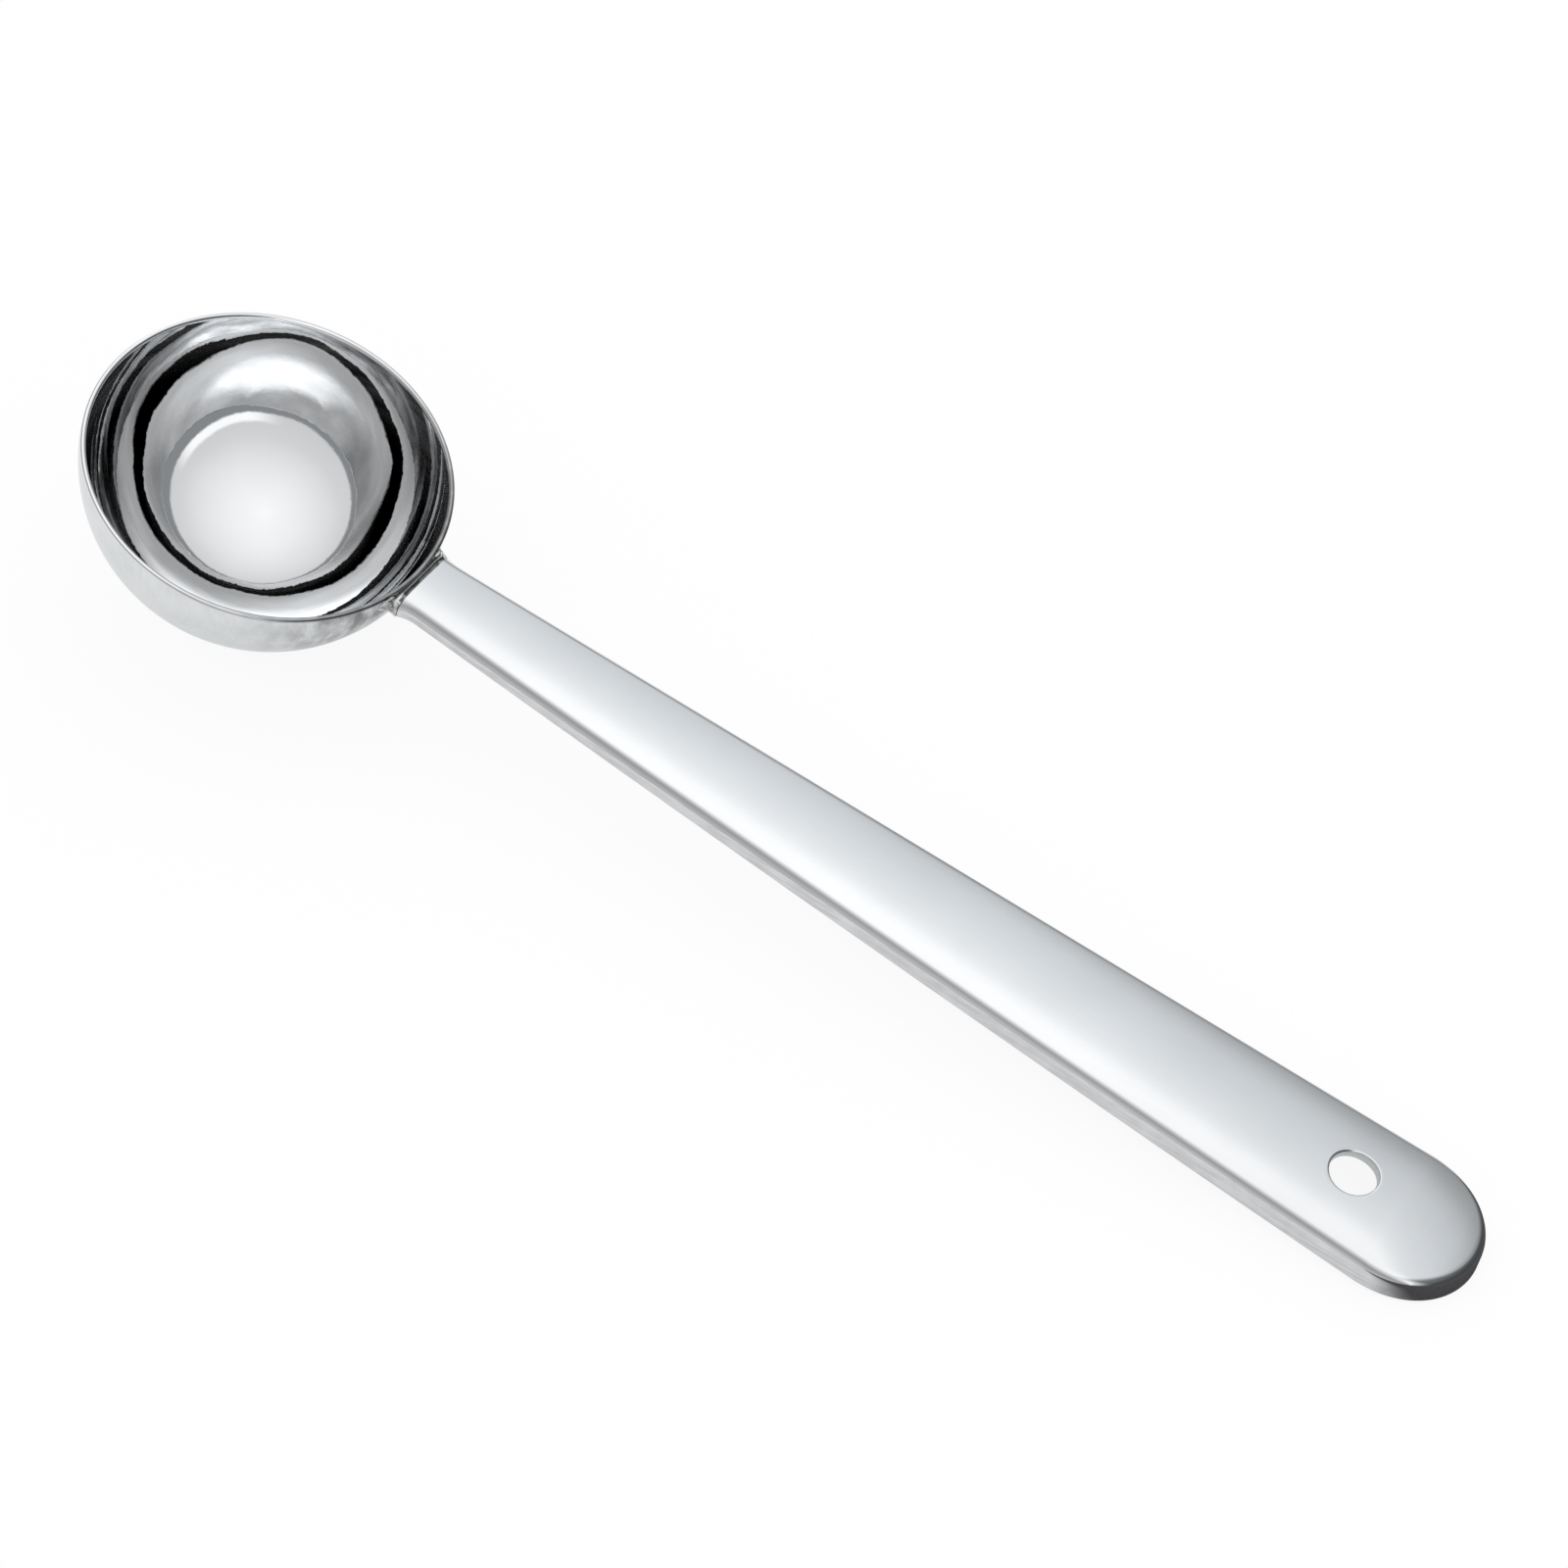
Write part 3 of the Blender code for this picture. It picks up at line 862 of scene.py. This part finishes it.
@dataclass
class NeckWeld:
    """The bead that joins the handle's end to the bowl's wall, hollow like the handle's channel."""

    handle: Handle
    bowl: Bowl
    fillet: float = 0.0023
    inner_fillet: float = 0.0008
    sheet: float = 0.0018
    bite: float = 0.0004
    groove: float = 0.00022
    undercut: float = 0.00075
    undercut_end: float = 0.5  # share of the way to the wall
    undercut_lean: float = 0.35  # by how much the groove is deeper than its mean at the far end
    undercut_half: float = 0.006
    rim_drop: float = 0.00035
    rim_drop_start: float = 0.35
    side_drop: float = 0.15
    lump: float = 0.00028
    lump_start: float = 0.0052
    lump_fade: float = 0.0015
    lump_waves: tuple[float, float, float] = (2900.0, 2700.0, 4300.0)
    side_start: float = 0.0056
    rows: int = 30
    columns: int = 80
    smoothing: float = radians(50)
    finish_top: SteelFinish = WELD_TOP
    # the bead's sides, with painted glints in their colour
    finish_side: SteelFinish = WELD_SIDE_PAINTED_GLINTS

    def crown_height(self, share: float, y: float) -> float:
        """Height of the bead over the handle's top line, from a groove over a crest down to the rim.

        Args:
            share: how far from the handle's end to the bowl's wall.
            y: the place across the bead.

        Returns:
            The height, in metres.
        """
        far = 1 - self.undercut_lean + self.undercut_lean * max(min(y / self.undercut_half, 1), -1)
        dip = self.undercut * far * (1 - eased(share / self.undercut_end))
        drop = self.handle.height(self.handle.start) + self.rim_drop
        return -dip - drop * eased((share - self.rim_drop_start) / (1 - self.rim_drop_start))

    def lumps(self, share: float, y: float, z: float) -> float:
        """The bead's unevenness on its sides, as the welder's dabs leave it.

        Args:
            share: how far from the handle's end to the bowl's wall.
            y: the place across the bead.
            z: the height.

        Returns:
            How far the surface stands out, in metres.
        """
        side = min(max((abs(y) - self.lump_start) / self.lump_fade, 0), 1)
        end = sin(pi * min(max(share, 0), 1))
        first, second, third = self.lump_waves
        wave = sin(first * z + 1.3) * sin(4.6 * share + second * z) + 0.6 * sin(third * z - 5 * share)
        return self.lump * side * end * wave

    def place(self, spot: Vector) -> Vector:
        """Where a point of the upright tube goes on the bead.

        Args:
            spot: a point of a tube of radius 1 and height 1, round its axis.

        Returns:
            The point's place.
        """
        share = spot.z + 0.5
        turn = (atan2(spot.y, spot.x) / (2 * pi)) % 1.0
        outside = turn < 0.5
        across = 4 * turn - 1 if outside else 3 - 4 * turn
        section, angle = self.handle.section(across)
        out = Vector((0, (1 if across >= 0 else -1) * sin(angle), cos(angle)))
        curve = 1 - sqrt(max(1 - share ** 2, 0))
        if outside:
            spread = (self.handle.neck_flare + self.fillet * curve) * sin(angle) ** 2
            spot = section + out * spread
            spot = spot + out * self.lumps(share, spot.y, spot.z)
        else:
            spot = section - out * (self.sheet + self.inner_fillet * curve)
        spot.z += self.crown_height(share, spot.y) * max(cos(angle), self.side_drop)
        rise = (spot.z - self.handle.neck_height) * tan(self.handle.rise)
        begin = self.handle.start - self.groove - rise
        wall = self.bowl.radius - self.bite
        end = sqrt(max(wall ** 2 - spot.y ** 2 - spot.z ** 2, 0))
        return Vector((begin + (end - begin) * share, spot.y, spot.z))

    def build(self, pose: RestingPose) -> bpy.types.Object:
        """Draws the bead from the handle's end to the bowl's wall.

        Args:
            pose: how the ladle lies.

        Returns:
            The finished bead.
        """
        bead = Workpiece.start(
            "weld_bead", bpy.ops.mesh.primitive_cylinder_add,
            vertices=2 * self.columns, radius=1, depth=1, end_fill_type="NGON",
        )
        with bead.shaping():
            bead.select(Pick.EDGES, lambda spot: abs(spot.z) < 0.01)
            bpy.ops.mesh.subdivide(number_cuts=self.rows - 1)
            bpy.ops.mesh.select_all(action="SELECT")
            bead.lay(self.place)
            bpy.ops.mesh.normals_make_consistent(inside=False)
        bead.dress(
            (self.finish_top, self.finish_side), lambda face: int(abs(face.center.y) > self.side_start),
        )
        return bead.finish(pose, self.smoothing)


def grey_light(grey: float, cool: float = 0.0) -> Numbers:
    """The light that lets the steel show a grey.

    Args:
        grey: how light the steel is to show, from 0 to 255.
        cool: how far it leans to blue, in the same steps.

    Returns:
        The light's colour, allowing for what the steel takes away.
    """
    shades = []
    for level in (grey - cool, grey, grey + 0.8 * cool):
        value = level / 255
        linear = value / 12.92 if value <= 0.04045 else ((value + 0.055) / 1.055) ** 2.4
        shades.append(linear / STEEL_SHARE)
    return tuple(shades)


@dataclass
class Camera:
    """The photograph's camera, fitted to the bowl's rim and the handle, in units of the bowl's radius."""

    turn: float = radians(9.68)
    height: float = radians(53.98)
    roll: float = radians(29.64)
    across: float = -2.7128
    upwards: float = 1.6953
    distance: float = 20.696
    unit: float = 0.0360
    lens: float = 90.0
    sensor: float = 36.0

    def axes(self) -> tuple[Vector, Vector, Vector]:
        """The camera's right, up and back, in the bowl's frame.

        Returns:
            The three directions.
        """
        back = Vector((
            sin(self.turn) * cos(self.height), -cos(self.turn) * cos(self.height), sin(self.height),
        ))
        level = Vector((0, 0, 1)).cross(back).normalized()
        up = back.cross(level)
        right = cos(self.roll) * level + sin(self.roll) * up
        return right, cos(self.roll) * up - sin(self.roll) * level, back

    def place(self) -> Vector:
        """Where the camera stands, in the bowl's frame."""
        right, up, back = self.axes()
        return (back * self.distance - right * self.across - up * self.upwards) * self.unit

    def build(self, pose: RestingPose) -> bpy.types.Object:
        """Sets the camera up.

        Args:
            pose: how the ladle lies.

        Returns:
            The camera, which is the scene's.
        """
        data = bpy.data.cameras.new("studio_camera")
        data.lens = self.lens
        data.sensor_width = self.sensor
        camera = bpy.data.objects.new("studio_camera", data)
        bpy.context.scene.collection.objects.link(camera)
        columns = [*self.axes(), self.place()]
        stand = Matrix([[column[row] for column in columns] for row in range(3)] + [[0, 0, 0, 1]])
        camera.matrix_world = pose.matrix() @ stand
        bpy.context.scene.camera = camera
        return camera


@dataclass(frozen=True)
class SoftLight:
    """One soft patch of light, or of shade if its amount is below zero, in a direction of the room."""

    towards: Numbers
    width: float
    amount: float


@dataclass(frozen=True)
class CeilingWindow:
    """A square soft box overhead, white in its middle and fading to its sides."""

    amount: float
    sides: tuple[tuple[Numbers, float, float], ...] = (
        ((-0.962, -0.274, 0), -0.053, 0.74), ((-0.412, 0.911, 0), 0.385, 0.487),
    )
    fade_start: float = 0.487
    fade_stop: float = 1.35
    horizon: float = 0.05

    def light(self, nodes: Nodes, ray: Feed) -> Socket:
        """What the window adds to the room.

        Args:
            nodes: the room's node tree.
            ray: the direction that a ray goes in.

        Returns:
            The amount, by direction.
        """
        high = nodes.calc("MAXIMUM", nodes.axes(ray)[2], self.horizon)
        shares = []
        for side, middle, reach in self.sides:
            place = nodes.calc("DIVIDE", nodes.along(ray, side), high)
            off = nodes.calc("ABSOLUTE", nodes.calc("SUBTRACT", place, middle))
            shares.append(nodes.calc("DIVIDE", off, reach))
        fade = Fade(self.fade_start, self.fade_stop, self.amount, 0.0, soft=True)
        return nodes.span(nodes.calc("MAXIMUM", *shares), fade)


@dataclass(frozen=True)
class Surround:
    """What the mirror inside the bowl shows after some number of bounces: a streaky base and soft patches."""

    base: float
    streaks: float
    patches: tuple[SoftLight, ...]
    window: CeilingWindow | None = None
    streak_scale: float = 3.5
    streak_roughness: float = 0.65

    def light(self, nodes: Nodes, ray: Feed) -> Socket:
        """Adds up the base, the window and the patches.

        Args:
            nodes: the room's node tree.
            ray: the direction that a ray goes in.

        Returns:
            The light's strength, by direction.
        """
        noise = nodes.noise(ray, self.streak_scale, 3, roughness=self.streak_roughness)
        total = nodes.span(noise, Fade(0.3, 0.7, self.base - self.streaks, self.base + self.streaks))
        if self.window:
            total = nodes.calc("ADD", total, self.window.light(nodes, ray))
        for patch in self.patches:
            fade = Fade(radians(patch.width), radians(patch.width / 4), 0.0, patch.amount, soft=True)
            total = nodes.calc("ADD", nodes.span(nodes.angle_from(ray, patch.towards), fade), total)
        return nodes.calc("POWER", nodes.calc("MAXIMUM", total, 0.0), LEVEL_POWER)


TWICE = Surround(0.79, 0.05, (
    SoftLight((-0.112, 0.195, 0.974), 45, 0.13),
    SoftLight((-0.060, -0.418, 0.906), 30, 0.16),
    SoftLight((0.967, 0.238, 0.087), 45, -0.207),
    SoftLight((0.124, -0.866, 0.485), 30, -0.154),
    SoftLight((0.573, -0.661, 0.485), 18, 0.232),
    SoftLight((0.736, -0.473, 0.485), 18, -0.184),
    SoftLight((-0.589, -0.125, 0.799), 30, 0.127),
), CeilingWindow(0.36))
THRICE = Surround(0.436, 0.26, (
    SoftLight((-0.225, 0.0, 0.974), 45, 0.593),
    SoftLight((0.124, 0.866, 0.485), 65, 0.349),
    SoftLight((0.176, -0.384, 0.906), 18, 0.32),
    SoftLight((0.736, -0.473, 0.485), 18, 0.32),
    SoftLight((-0.589, 0.125, 0.799), 30, 0.331),
    SoftLight((0.714, -0.245, 0.656), 18, -0.163),
))
MORE = Surround(0.50, 0.46, (
    SoftLight((-0.112, -0.195, 0.974), 45, 0.509),
    SoftLight((0.356, -0.228, 0.906), 30, 0.679),
    SoftLight((0.755, 0.0, 0.656), 18, 0.245),
    SoftLight((0.714, 0.245, 0.656), 18, 0.22),
))


@dataclass
class Studio:
    """A white room with soft light overhead and dark screens beyond the grip.

    Only the bowl's inside is a true mirror. It is shown a big lamp at the first bounce, and what surrounds
    the bowl, with a dark stand round the camera's place, at the later ones.
    """

    towards_camera: Vector
    surrounds: tuple[Surround, ...] = (TWICE, THRICE, MORE)
    bands: tuple[tuple[float, float, float], ...] = (
        (-180, 192, 1), (-130, 190, 1), (-110, 190, 1), (-90, 190, 0), (-75, 181, 0), (-60, 163, 0),
        (-45, 156, 0), (-38, 170, 0), (-30, 186, 0), (-22, 205, 0), (-15, 220, 0), (-8, 236, 0), (-1, 251, 0),
        (9, 255, 0), (13, 251, 1), (17, 240, 1), (22, 231, 2), (30, 223, 3), (40, 214, 3), (50, 205, 3),
        (57, 192, 3), (64, 172, 2), (72, 152, 1), (85, 142, 1), (100, 160, 1), (120, 190, 2), (180, 192, 3),
    )  # degrees from overhead across the ladle, the grey that the steel shows there, and how cool it is
    screens_slant: float = 0.35
    screens: Fade = Fade(0.05, 0.5, 0.0, 0.75, soft=True)
    screens_side: Fade = Fade(-0.65, -0.35, soft=True)
    bowl_end: Fade = Fade(-0.23, -0.16, 0.93, 1.0)
    grip_end: Fade = Fade(-0.10, 0.06, 1.03, 0.94, soft=True)
    horizon: Fade = Fade(0.5, 1.2, 1.0, 0.8)
    stand_outline: Numbers = (
        13.0, 16.5, 14.5, 9.0, 8.0, 11.0, 14.5, 10.0, 7.0, 6.0, 4.0, 3.0, 2.0, 1.6, 2.5, 9.0, 17.5, 21.0,
    )  # degrees from the camera's place, in even steps round it
    stand_widest: float = 25.0
    stand_edge: Fade = Fade(0.86, 1.14, soft=True)
    lamp_middle: Numbers = (0.18, -0.098, 0.979)
    lamp_levels: tuple[tuple[float, float], ...] = (
        (0, 0.985), (10, 0.93), (20, 0.885), (30, 0.82), (40, 0.745), (50, 0.655), (90, 0.50),
    )  # degrees from the lamp's middle, and the strength that the steel shows there
    lamp_edge_middle: Numbers = (0.281, -0.183, 0.942)
    lamp_edge: Fade = Fade(radians(57.5), radians(59.5), soft=True)
    lamp_band: Fade = Fade(radians(51), radians(54), soft=True)
    glint_middle: Numbers = (0.90, -0.33, 0.26)
    glint: Fade = Fade(radians(18), radians(42), 1.0, 0.0, soft=True)
    glint_colour: Numbers = (1.25, 1.25, 1.25, 1)
    hood: Fade = Fade(radians(66), radians(80), soft=True)
    hood_colour: Numbers = (0.30, 0.31, 0.32, 1)

    def overhead(self, nodes: Nodes, axes: Sequence[Socket]) -> Socket:
        """The light by its angle from overhead, across the ladle.

        Args:
            nodes: the room's node tree.
            axes: the x, y and z of the direction that a ray goes in.

        Returns:
            The light's colour.
        """
        x, y, z = axes
        angle = nodes.calc("ARCTAN2", nodes.calc("ADD", y, x), z)
        stops = [((degree + 180) / 360, grey_light(grey, cool)) for degree, grey, cool in self.bands]
        return nodes.ramp(nodes.span(angle, Fade(-pi, pi)), stops)

    def beyond_grip(self, nodes: Nodes, axes: Sequence[Socket]) -> Socket:
        """How much of the light is left towards the low dark screens beyond the grip.

        Args:
            nodes: the room's node tree.
            axes: the x, y and z of the direction that a ray goes in.

        Returns:
            The share of the light.
        """
        x, y, z = axes
        lowness = nodes.calc("SUBTRACT", x, nodes.calc("MULTIPLY", z, self.screens_slant))
        screen = nodes.calc("MULTIPLY", nodes.span(lowness, self.screens), nodes.span(y, self.screens_side))
        share = nodes.calc("SUBTRACT", 1.0, screen)
        for value, fade in ((x, self.bowl_end), (x, self.grip_end), (lowness, self.horizon)):
            share = nodes.calc("MULTIPLY", share, nodes.span(value, fade))
        return share

    def camera_stand(self, nodes: Nodes, ray: Socket) -> Socket:
        """The dark stand round the camera's place, which the mirror shows from its second bounce on.

        Args:
            nodes: the room's node tree.
            ray: the direction that a ray goes in.

        Returns:
            How much of the light is left, by direction.
        """
        level = Vector((0, 0, 1)).cross(self.towards_camera).normalized()
        upright = self.towards_camera.cross(level)
        angle = nodes.calc("ARCTAN2", nodes.along(ray, upright), nodes.along(ray, level))
        half = len(self.stand_outline) // 2
        reaches = self.stand_outline[half:] + self.stand_outline[:half + 1]
        stops = [(step / (2 * half), (reach / self.stand_widest,) * 3) for step, reach in enumerate(reaches)]
        outline = nodes.ramp(nodes.span(angle, Fade(-pi, pi)), stops)
        outline = nodes.calc("MULTIPLY", outline, radians(self.stand_widest))
        return nodes.span(
            nodes.calc("DIVIDE", nodes.angle_from(ray, self.towards_camera), outline), self.stand_edge,
        )

    def big_lamp(self, nodes: Nodes, ray: Socket, room: Socket) -> Socket:
        """The round soft lamp that the bowl's bottom mirrors: white in its middle, greyer to its edge.

        Args:
            nodes: the room's node tree.
            ray: the direction that a ray goes in.
            room: the light of the room well beside the lamp.

        Returns:
            The light's colour, by direction.
        """
        away = nodes.span(nodes.angle_from(ray, self.lamp_middle), Fade(0.0, radians(90)))
        stops = [(degree / 90, (level / STEEL_SHARE,) * 3) for degree, level in self.lamp_levels]
        face = nodes.ramp(away, stops)
        out = nodes.angle_from(ray, self.lamp_edge_middle)
        glint = nodes.span(nodes.angle_from(ray, self.glint_middle), self.glint)
        glint = nodes.calc("MULTIPLY", glint, nodes.span(out, self.lamp_band))
        hood = nodes.mix(nodes.span(out, self.hood), self.hood_colour, room)
        return nodes.mix(nodes.span(out, self.lamp_edge), nodes.mix(glint, face, self.glint_colour), hood)

    def light(self) -> None:
        """Sets the room's light up."""
        world = bpy.data.worlds.new("white_room")
        bpy.context.scene.world = world
        nodes = Nodes.of(world)
        ray = nodes.add("ShaderNodeTexCoord").outputs["Generated"]
        axes = nodes.axes(ray)
        path = nodes.add("ShaderNodeLightPath").outputs
        bounces = path["Glossy Depth"]
        room = nodes.mix(1.0, self.overhead(nodes, axes), self.beyond_grip(nodes, axes), blend="MULTIPLY")
        deep = self.surrounds[0].light(nodes, ray)
        for count, surround in enumerate(self.surrounds[1:], 2):
            more = nodes.calc("GREATER_THAN", bounces, count + 0.5)
            deep = nodes.mix(more, deep, surround.light(nodes, ray))
        deep = nodes.mix(1.0, deep, self.camera_stand(nodes, ray), blend="MULTIPLY")
        lamp = self.big_lamp(nodes, ray, room)
        bowl_light = nodes.mix(nodes.calc("GREATER_THAN", bounces, 1.5), lamp, deep)
        mirrored = nodes.mix(path["Is Singular Ray"], room, bowl_light)
        light = nodes.mix(path["Is Glossy Ray"], (1, 1, 1, 1), mirrored)
        background = nodes.add("ShaderNodeBackground", {"Color": light, "Strength": 1.0}).outputs[0]
        nodes.add("ShaderNodeOutputWorld", {"Surface": background})


@dataclass
class Floor:
    """The pale floor a hair below the ladle: white to the camera, with a light shadow."""

    size: float = 6.0
    gap: float = 0.0001
    shadow: float = 0.12
    glow: float = 0.80
    glow_share: float = 0.5
    pale: Numbers = (0.96, 0.975, 0.98, 1)
    dark: Numbers = (0.10, 0.10, 0.105, 1)
    beyond: Fade = Fade(0.137, 0.147, soft=True)
    behind: Fade = Fade(0.05, 0.13, soft=True)
    beside: Fade = Fade(-0.08, -0.03, soft=True)

    def mirrored(self, nodes: Nodes) -> Socket:
        """What the steel mirrors of the floor: pale round the ladle, dark beyond the grip and well behind.

        Args:
            nodes: the floor's node tree.

        Returns:
            The colour, by place.
        """
        x, y, _ = nodes.axes(nodes.add("ShaderNodeTexCoord").outputs["Object"])
        behind = nodes.calc("MULTIPLY", nodes.span(y, self.behind), nodes.span(x, self.beside))
        return nodes.mix(nodes.calc("MAXIMUM", nodes.span(x, self.beyond), behind), self.pale, self.dark)

    def material(self) -> bpy.types.Material:
        """Paints the floor, with one look for the camera and another for all other rays.

        Returns:
            The material.
        """
        material = bpy.data.materials.new("pale_floor")
        nodes = Nodes.of(material)
        colour = self.mirrored(nodes)
        dull = nodes.add("ShaderNodeBsdfDiffuse", {"Color": colour}).outputs[0]
        glow = nodes.add("ShaderNodeEmission", {"Color": colour, "Strength": self.glow}).outputs[0]
        paint = nodes.add("ShaderNodeMixShader", {0: self.glow_share, 1: dull, 2: glow}).outputs[0]
        white = nodes.add("ShaderNodeEmission", {"Strength": 1.0}).outputs[0]
        lit = nodes.add("ShaderNodeBsdfDiffuse", {"Color": (1.0, 1.0, 1.0, 1)}).outputs[0]
        shadowed = nodes.add("ShaderNodeMixShader", {0: self.shadow, 1: white, 2: lit}).outputs[0]
        by_camera = nodes.add("ShaderNodeLightPath").outputs["Is Camera Ray"]
        seen = nodes.add("ShaderNodeMixShader", {0: by_camera, 1: paint, 2: shadowed}).outputs[0]
        nodes.add("ShaderNodeOutputMaterial", {"Surface": seen})
        return material

    def lay(self) -> bpy.types.Object:
        """Lays the floor.

        Returns:
            The floor, which isn't part of the object.
        """
        floor = Workpiece.start(
            "pale_floor", bpy.ops.mesh.primitive_grid_add,
            x_subdivisions=4, y_subdivisions=4, size=self.size, location=(0, 0, -self.gap),
        )
        floor.thing.data.materials.append(self.material())
        return floor.thing


def place_on_frame(piece: bpy.types.Object, node: str) -> None:
    """Ties a finished piece to the frame and reports it.

    Args:
        piece: the finished piece.
        node: the CAD node that it stands for.
    """
    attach(piece, "root")
    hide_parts(node)
    low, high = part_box(node)
    corners = [Vector(corner) for corner in piece.bound_box]
    size = [round((max(c[i] for c in corners) - min(c[i] for c in corners)) * 1000, 2) for i in range(3)]
    meant = [round((high[i] - low[i]) * 1000, 2) for i in range(3)]
    faces = len(piece.data.polygons)
    log.info("%s: %d faces, %s mm, the frame's %s is %s mm", piece.name, faces, size, node, meant)


def main() -> None:
    """Builds the ladle piece by piece, then the studio round it."""
    logging.basicConfig(level=logging.INFO, format="%(name)s: %(message)s")
    bpy.context.scene.view_settings.view_transform = "Standard"
    bowl = Bowl()
    handle = Handle()
    pose = RestingPose.from_record(frame["record"], bowl.rim_middle() + bowl.inset)
    log.info("the ladle lies tipped by %.2f degrees", degrees(pose.slope))
    place_on_frame(bowl.build(pose), "bowl")
    place_on_frame(handle.build(pose), "handle")
    place_on_frame(NeckWeld(handle, bowl).build(pose), "neck_weld")

    camera = Camera()
    camera.build(pose)
    Studio((pose.matrix().to_3x3() @ camera.place()).normalized()).light()
    Floor().lay()


if __name__ == "__main__":
    main()
